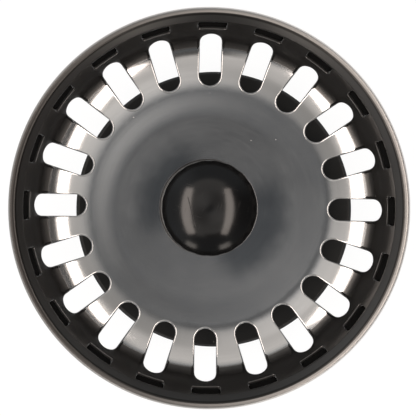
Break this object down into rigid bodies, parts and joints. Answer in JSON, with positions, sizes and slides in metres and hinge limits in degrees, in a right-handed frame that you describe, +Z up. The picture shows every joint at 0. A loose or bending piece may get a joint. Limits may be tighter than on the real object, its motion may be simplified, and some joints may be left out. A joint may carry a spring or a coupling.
{
  "type": "sink strainer",
  "caption": "Round pressed steel sink basket strainer with radial slots, rim windows over a rubber gasket, and a push-pull plunger: domed knob, stem and rubber seal.",
  "frame": {"origin": "on the basket's axis, at the height of the raised seal's lip, which the part stands on", "axes": "+Z up along the plunger's slide, +X along one slot"},
  "size_m": [0.083, 0.083, 0.032],
  "materials": {
    "basket_steel": "satin polished stainless steel sheet",
    "gasket_rubber": "matt black rubber",
    "bush_plastic": "satin black plastic",
    "spring_steel": "dull spring steel",
    "ring_rubber": "black rubber",
    "stem_steel": "turned stainless steel",
    "knob_plastic": "glossy black moulded plastic",
    "insert_brass": "turned brass",
    "seal_rubber": "matt black rubber",
    "plate_steel": "pressed stainless steel",
    "nut_steel": "stainless steel"
  },
  "bodies": {
    "basket": {"basket": "basket_steel", "rim_gasket": "gasket_rubber", "guide_bush": "bush_plastic", "retaining_ring": "spring_steel", "friction_ring": "ring_rubber"},
    "plunger": {"stem": "stem_steel", "knob": "knob_plastic", "knob_insert": "insert_brass", "seal": "seal_rubber", "seal_plate": "plate_steel", "clamp_washer": "plate_steel", "lock_nut": "nut_steel"}
  },
  "joints": [
    {"name": "plunger_slide", "type": "slide", "parent": "basket", "child": "plunger", "axis": [0, 0, 1], "range_m": [-0.009, 0]}
  ]
}
